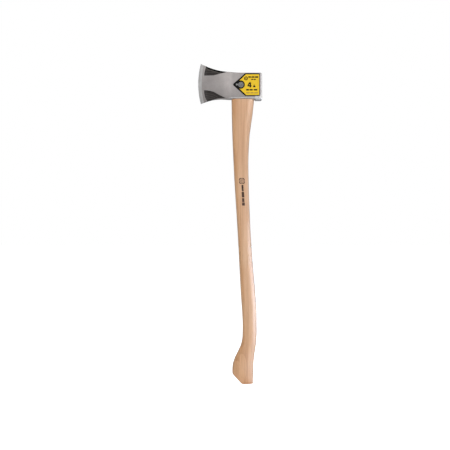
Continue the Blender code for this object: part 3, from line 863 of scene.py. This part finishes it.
def tapered_block(name, half_length, rise, depth, clearance):
    """A block along X that fills the kerf from `rise` above the eye's top to `depth` below it."""
    bm = bmesh.new()
    bmesh.ops.create_cube(bm, size=2)
    for vert in bm.verts:
        level = -rise if vert.co.z > 0 else depth
        vert.co.x *= half_length
        vert.co.y *= kerf_half_width(level) - clearance
        vert.co.z = HEAD_TOP - level
    return add_object(name, mesh_of(bm, name), EYE)


def step_wedge_outline(grow, rise):
    step_depth = STEP_WEDGE_DEPTH / STEP_WEDGE_STEPS
    side = []
    for step in range(STEP_WEDGE_STEPS):
        share = step / STEP_WEDGE_STEPS
        half = (STEP_WEDGE_THICKNESS * (1 - share) + STEP_WEDGE_TIP * share) / 2
        side.append((half + grow, (rise if step == 0 else 0) - step * step_depth))
        side.append((half + grow - STEP_WEDGE_BARB, -(step + 1) * step_depth))
    side[-1] = (STEP_WEDGE_TIP / 2 + grow, -STEP_WEDGE_DEPTH - grow)
    return side + [(-x, z) for x, z in reversed(side)]


def filled_mesh(outlines, low, high):
    """A plate between the heights low and high, filled between its outlines; an inner outline is a hole."""
    curve = bpy.data.curves.new("plate", "CURVE")
    curve.dimensions = "2D"
    curve.fill_mode = "BOTH"
    curve.extrude = (high - low) / 2
    for outline in outlines:
        line = curve.splines.new("POLY")
        line.points.add(len(outline) - 1)
        for point, (x, y) in zip(line.points, outline):
            point.co = (x, y, 0, 1)
        line.use_cyclic_u = True
    obj = add_object("plate", curve)
    mesh = evaluated_mesh(obj)
    bpy.data.objects.remove(obj)
    bm = bmesh.new()
    bm.from_mesh(mesh)
    bmesh.ops.remove_doubles(bm, verts=bm.verts, dist=FINE_WELD)
    for vert in bm.verts:
        vert.co.z += (low + high) / 2
    bmesh.ops.recalc_face_normals(bm, faces=bm.faces)
    bm.to_mesh(mesh)
    bm.free()
    return mesh


def step_wedge(name, side, grow, rise):
    half = STEP_WEDGE_BREADTH / 2 + grow
    place = EYE + Vector((side * STEP_WEDGE_X, 0, HEAD_TOP))
    obj = add_object(name, filled_mesh([step_wedge_outline(grow, rise)], -half, half), place)
    obj.rotation_euler = (math.pi / 2, 0, STEP_WEDGE_TURN)
    bpy.context.view_layer.update()
    return obj


def bevel(obj, width, segments=2):
    made = obj.modifiers.new("Bevel", "BEVEL")
    made.width = width
    made.segments = segments
    made.limit_method = "ANGLE"
    made.angle_limit = math.radians(40)
    apply_modifiers(obj)


def make_handle_and_wedges():
    handle = add_object("hickory_handle", handle_mesh())
    kerf_cutter = tapered_block("kerf_cutter", KERF_HALF_LENGTH, CUT_PAST, KERF_DEPTH, 0)
    cut(handle, kerf_cutter)
    wedge = tapered_block("poplar_wedge", KERF_WEDGE_HALF_LENGTH, 0, KERF_WEDGE_DEPTH, FIT)
    bevel(wedge, WOOD_WEDGE_BEVEL)
    steel = wedge_steel_finish()
    for name, side in (("steel_wedge_front", -1), ("steel_wedge_rear", 1)):
        slot = step_wedge("slot_cutter", side, FIT, CUT_PAST)
        cut(handle, slot)
        cut(wedge, slot)
        bpy.data.objects.remove(slot)
        plate = step_wedge(name, side, 0, 0)
        bevel(plate, STEEL_WEDGE_BEVEL)
        shade_round(plate)
        plate.data.materials.append(steel)
        hand_in(plate, name.replace("steel", "step"))
    bpy.data.objects.remove(kerf_cutter)
    handle.data.materials.append(hickory_finish())
    shade_round(handle, 38)
    hand_in(handle, "handle")
    wedge.data.materials.append(wedge_wood_finish())
    shade_round(wedge)
    hand_in(wedge, "kerf_wedge")


# ---- labels


def arc(centre, radius, start, end, count):
    cx, cy = centre
    return [(cx + radius * math.cos(a), cy + radius * math.sin(a)) for a in spread(start, end, count)]


def circle(centre, radius, squash=1.0, count=40):
    cx, cy = centre
    turns = [2 * math.pi * i / count for i in range(count)]
    return [(cx + radius * math.cos(a), cy + squash * radius * math.sin(a)) for a in turns]


def bar(left, bottom, right, top, radius=None):
    """A rounded rectangle."""
    radius = min(right - left, top - bottom) / 2.2 if radius is None else radius
    left, bottom, right, top = left + radius, bottom + radius, right - radius, top - radius
    points = []
    for quarter, centre in enumerate(((right, bottom), (right, top), (left, top), (left, bottom)), -1):
        points += arc(centre, radius, quarter * math.pi / 2, (quarter + 1) * math.pi / 2, 5)
    return points


def printed_plate(outlines, low, high):
    """A filled plate whose outlines are given in mm."""
    return filled_mesh([in_mm(*outline) for outline in outlines], low, high)


def rounded_outline(corners, count=6):
    """A polygon whose corners (x, y, radius) are rounded."""
    points = []
    for i, (x, y, radius) in enumerate(corners):
        here = Vector((x, y))
        before = (Vector(corners[i - 1][:2]) - here).normalized()
        after = (Vector(corners[(i + 1) % len(corners)][:2]) - here).normalized()
        half = before.angle(after) / 2
        reach = radius / math.tan(half)
        centre = here + (before + after).normalized() * radius / math.sin(half)
        start, end = here + before * reach - centre, here + after * reach - centre
        for t in spread(0, 1, count):
            points.append(tuple(centre + start.lerp(end, t).normalized() * radius))
    return points


def field_outline():
    """The yellow field: the tag's outline drawn in, with the emblem's disc bitten out of its point."""
    slope = LABEL_HALF_HEIGHT / (LABEL_SHOULDER_X - LABEL_TIP_X)
    drop = FIELD_INSET * math.hypot(1, slope)

    def past_diagonal(angle):
        x, y = DISC_CENTRE[0] + DISC_RADIUS * math.cos(angle), DISC_CENTRE[1] + DISC_RADIUS * math.sin(angle)
        return y > slope * (x - LABEL_TIP_X) - drop

    angle, step = math.pi, 0.001  # walk round the disc to where it leaves the tag's slanting side
    while not past_diagonal(angle):
        angle -= step
    while past_diagonal(angle):
        angle -= step
    top_x = (FIELD_TOP + drop) / slope + LABEL_TIP_X
    bottom_x = (-FIELD_BOTTOM + drop) / slope + LABEL_TIP_X
    back = FIELD_BACK - FIELD_CORNER
    outline = arc(DISC_CENTRE, DISC_RADIUS, angle, -angle, 32)
    outline += [(bottom_x, FIELD_BOTTOM), (back, FIELD_BOTTOM), (FIELD_BACK, FIELD_BOTTOM + FIELD_CORNER)]
    outline += [(FIELD_BACK, FIELD_TOP - FIELD_CORNER), (back, FIELD_TOP), (top_x, FIELD_TOP)]
    return outline


def label_outline():
    half, tip_x = LABEL_HALF_HEIGHT, LABEL_TIP_X
    for _ in range(20):  # the sharp tip lies ahead of its rounding
        slant = math.atan2(half, LABEL_SHOULDER_X - tip_x)
        tip_x = LABEL_TIP_X + LABEL_TIP_RADIUS - LABEL_TIP_RADIUS / math.sin(slant)
    corners = [
        (tip_x, 0, LABEL_TIP_RADIUS),
        (LABEL_SHOULDER_X, -half, LABEL_SHOULDER_RADIUS),
        (LABEL_BACK_X, -half, LABEL_CORNER_RADIUS),
        (LABEL_BACK_X, half, LABEL_CORNER_RADIUS),
        (LABEL_SHOULDER_X, half, LABEL_SHOULDER_RADIUS),
    ]
    return rounded_outline(corners)


def numeral_four(flip):
    """A plain block numeral 4: its outline and the hole in it."""
    width, height = NUMERAL_WIDTH, NUMERAL_HEIGHT
    left, right = 0.51 * width, 0.86 * width  # sides of the stem
    foot, bar_top = 0.19 * height, 0.41 * height
    outer = [(left, 0), (right, 0), (right, foot), (width, foot), (width, bar_top), (right, bar_top)]
    outer += [(right, height), (0.41 * width, height), (0, 0.44 * height), (0, foot), (left, foot)]
    hole = [(left, bar_top), (left, 0.72 * height), (0.28 * width, bar_top)]
    side = -1 if flip else 1
    start = NUMERAL_MIDDLE - side * width / 2
    return [[(start + side * x, NUMERAL_BOTTOM + y) for x, y in outline] for outline in (outer, hole)]


def weight_sign(left, bottom, width, height):
    """The outlines of a small weight's body and of its ring."""
    top = bottom + 0.62 * height
    body = [(left, bottom), (left + width, bottom), (left + 0.8 * width, top), (left + 0.2 * width, top)]
    ring = (left + width / 2, top + 0.1 * height)
    return [body], [circle(ring, 0.28 * height), circle(ring, 0.14 * height)]


def label_layers(side):
    """(finish, layer, outlines) of everything printed on a label."""
    emblem = [circle((-6.2, -0.2), 7.8)], [circle((-17.9, 0.4), 3.4, 0.82)]
    prints = (
        [circle((-6.0, -0.3), 6.0), circle((-5.9, -0.3), 5.3)],  # the emblem's rings, like a log's
        [circle((-5.5, -0.5), 3.6), circle((-5.4, -0.5), 2.9)],
        [circle((-5.0, -0.6), 1.2)],
        [circle((8.6, 18.0), 5.6), circle((8.6, 18.0), 3.3)],  # the small badge
        [circle((8.6, 18.0), 1.5)],
        numeral_four(side > 0),
        *weight_sign(29.1, -7.6, 7.9, 7.4),
    )
    layers = [("black", 0, [label_outline()]), ("yellow", 1, [field_outline()])]
    layers += [("silver", 1, outlines) for outlines in emblem]
    layers += [("black", 2, outlines) for outlines in prints]
    rows = (  # (finish, bottom, top, (left, right) of each bar that stands for a word)
        ("black", 20.0, 24.1, ((15.2, 23.6), (24.3, 33.8), (34.5, 44.8))),
        ("black", 13.6, 16.7, ((23.8, 30.2), (31.2, 37.8))),
        ("black", -17.4, -13.2, ((8.8, 17.8), (18.8, 28.4), (31.2, 41.8))),
        ("ochre", -26.0, -22.8, ((8.8, 19.5), (21.0, 31.0), (32.5, 43.8))),
    )
    for finish, bottom, top, words in rows:
        layers += [(finish, 2, [bar(left, bottom, right, top)]) for left, right in words]
    return layers


def make_label(name, side, finishes):
    bm = bmesh.new()
    base = HEAD_THICKNESS / 2 + LABEL_LIFT
    for finish, layer, outlines in label_layers(side):
        low = PRINT_FOOT if layer else 0
        plate = printed_plate(outlines, low, LABEL_THICKNESS + layer * PRINT)
        start = len(bm.faces)
        bm.from_mesh(plate)
        bm.faces.ensure_lookup_table()
        for face in bm.faces[start:]:
            face.material_index = list(finishes).index(finish)
        bpy.data.meshes.remove(plate)
    for vert in bm.verts:
        u, v, height = vert.co
        vert.co = (u, side * (base + height), v)
    bmesh.ops.recalc_face_normals(bm, faces=bm.faces)
    mesh = mesh_of(bm, name)
    for material in finishes.values():
        mesh.materials.append(material)
    return add_object(name, mesh, EYE + Vector((0, 0, LABEL_Z)))


def make_labels():
    finishes = {
        "black": printed_finish("label_black", (0.004, 0.0035, 0.0035), 0.45, shine=0.1),
        "yellow": printed_finish("label_yellow", (0.89, 0.585, 0.015), 0.42),
        "silver": printed_finish("label_silver", (0.24, 0.24, 0.235), 0.35, 0.2),
        "ochre": printed_finish("label_ochre", (0.46, 0.29, 0.04)),
    }
    for name, side in (("label_left", -1), ("label_right", 1)):
        hand_in(make_label("cheek_" + name, side, finishes), name)


# ---- print on the handle


def handle_surface(x, z, lift):
    """A point on the handle's left side at (x, z), raised by `lift`."""
    middle, half_length, half_width = handle_shape(z)
    reach = min(1, abs(x - middle) / half_length)
    return Vector((x, -half_width * (1 - reach**GRIP_ROUNDNESS) ** (1 / GRIP_ROUNDNESS) - lift, z))


def wrap_on_handle(bm, outlines):
    """Lays flat outlines on the handle's side as thin closed patches. Outlines are (across, along) in mm."""
    origin_x, origin_z = HANDLE_PRINT_ORIGIN
    plate = printed_plate(outlines, 0, 1 * MM)
    piece = bmesh.new()
    piece.from_mesh(plate)
    bpy.data.meshes.remove(plate)
    for step in range(-10, 11):  # a cut every millimetre lets the patch bend
        at = step * MM
        geometry = piece.verts[:] + piece.edges[:] + piece.faces[:]
        bmesh.ops.bisect_plane(piece, geom=geometry, plane_co=(at, 0, 0), plane_no=(1, 0, 0), dist=FINE_WELD)
    bmesh.ops.triangulate(piece, faces=piece.faces)
    for vert in piece.verts:
        u, v, w = vert.co
        lift = HANDLE_PRINT_RAISED if w > 0.5 * MM else -HANDLE_PRINT_SUNK
        vert.co = handle_surface(origin_x + u + HANDLE_PRINT_LEAN * v, origin_z + v, lift)
    bmesh.ops.recalc_face_normals(piece, faces=piece.faces)
    patch = mesh_of(piece, "patch")
    bm.from_mesh(patch)
    bpy.data.meshes.remove(patch)


def make_handle_print():
    bm = bmesh.new()
    wrap_on_handle(bm, [bar(-9.4, -8.6, 7.4, 8.6, 4.8), circle(BADGE_CENTRE, 7.0)])
    wrap_on_handle(bm, [circle(BADGE_CENTRE, 5.2), circle(BADGE_CENTRE, 4.0)])
    wrap_on_handle(bm, [circle(BADGE_CENTRE, 1.8)])
    for top, bottom, half in HANDLE_BARS:
        wrap_on_handle(bm, [bar(-half, bottom, half, top, 1.4)])
    mesh = mesh_of(bm, "handle_print")
    mesh.materials.append(ink_finish())
    hand_in(add_object("handle_print", mesh))


# ---- stage


FLOOR_HALF_SIZE = 12.0
FLOOR_PAINT = (0.75, 0.75, 0.75)
FLOOR_GLOW = 0.95  # for the camera alone: the floor runs into the white background
WORLD_LEVEL = 0.15  # brightness of the surrounding studio on average...
WORLD_SLOPE = (0, -0.05, 0.11)  # ...and how it grows along X, Y and Z

SOFT = {}
MATT = {"glossy": False}
CARD = {"diffuse": False}
COOL_CARD = {**CARD, "color": (0.82, 0.98, 1.24)}
LAMPS = (  # (name, place, what it faces, width, height, power, kind)
    ("front_soft", (-0.3, -2.0, 1.9), (-0.05, 0, 0.6), 1.8, 1.4, 12, SOFT),
    ("front_fill", (0.0, -2.2, 0.7), (-0.05, 0, 0.45), 2, 1.6, 25, MATT),
    ("back_soft", (0.4, 1.9, 1.9), (-0.05, 0, 0.6), 1.8, 1.4, 24, SOFT),
    ("grip_card", (0.48, -0.31, 0.15), (0, 0, 0.15), 0.74, 0.6, 9.6, COOL_CARD),
    ("edge_card", (0.5, 0.42, 0.24), (0, 0, 0.24), 0.6, 0.5, 2.0, COOL_CARD),
    ("butt_card", (0.27, -0.16, 0.004), (0.27, -0.16, 1), 0.52, 0.42, 1.1, COOL_CARD),
    ("neck_card", (0.56, -0.03, 0.72), (0, 0, 0.72), 0.4, 0.5, 1.6, CARD),
    ("left_card", (-0.56, 0.1, 0.45), (-0.03, 0, 0.45), 0.5, 1.0, 0.6, CARD),
    ("poll_card", (0.45, -0.5, 1.0), (0.04, 0, 0.88), 0.4, 0.3, 2.8, CARD),
    ("floor_card", (0, -0.25, 0.02), (0, -0.2, 0.9), 0.8, 0.5, 0.9, CARD),
)

CAMERA_PLACE = (-0.0687, -1.847, 0.4671)  # level with the tool's middle, as in the photo
CAMERA_LENS, CAMERA_SENSOR = 50, 36


def make_stage():
    floor_mesh = bpy.data.meshes.new("floor")
    corners = ((-1, -1), (1, -1), (1, 1), (-1, 1))
    verts = [(x * FLOOR_HALF_SIZE, y * FLOOR_HALF_SIZE, 0) for x, y in corners]
    floor_mesh.from_pydata(verts, [], [(0, 1, 2, 3)])
    pale = Surface("floor", Base_Color=FLOOR_PAINT, Roughness=0.9, Emission_Color=(1, 1, 1))
    seen = pale.node("LightPath", "Is Camera Ray")
    pale.put("Emission Strength", pale.times(seen, FLOOR_GLOW))
    floor_mesh.materials.append(pale.made)
    floor = add_object("floor", floor_mesh)


def add_lamp(name, spot, target, width, height, energy, diffuse=True, glossy=True, color=(1, 1, 1)):
    """A soft box. With diffuse or glossy off it only shows in the other kind of reflection, like a card."""
    data = bpy.data.lights.new(name, "AREA")
    data.shape = "RECTANGLE"
    data.size = width
    data.size_y = height
    data.energy = energy
    data.color = color
    lamp = add_object(name, data, spot)
    lamp.rotation_euler = (Vector(target) - Vector(spot)).to_track_quat("-Z", "Y").to_euler()
    lamp.visible_camera = False
    lamp.visible_diffuse = diffuse
    lamp.visible_glossy = glossy


def make_light():
    world = bpy.data.worlds.new("studio")
    bpy.context.scene.world = world
    world.use_nodes = True
    world.node_tree.nodes.clear()
    sky = Nodes(world.node_tree)
    spot = sky.node("TexCoord", "Generated")
    slope = sky.node("VectorMath", "Value", {0: spot, 1: WORLD_SLOPE}, operation="DOT_PRODUCT")
    lit = sky.math("ADD", slope, WORLD_LEVEL)
    strength = sky.weigh(sky.node("LightPath", "Is Camera Ray"), lit, 1.0)
    shine = sky.node("Background", 0, {"Color": (1, 1, 1), "Strength": strength})
    sky.join(shine, sky.tree.nodes.new("ShaderNodeOutputWorld").inputs["Surface"])
    for name, place, target, width, height, power, kind in LAMPS:
        add_lamp(name, place, target, width, height, power, **kind)


def make_camera():
    data = bpy.data.cameras.new("camera")
    data.lens = CAMERA_LENS
    data.sensor_width = CAMERA_SENSOR
    camera = add_object("camera", data, CAMERA_PLACE)
    camera.rotation_euler = (math.radians(90), 0, 0)
    bpy.context.scene.camera = camera
    bpy.context.scene.view_settings.view_transform = "Standard"


make_head()
make_handle_and_wedges()
make_labels()
make_handle_print()
make_stage()
make_light()
make_camera()
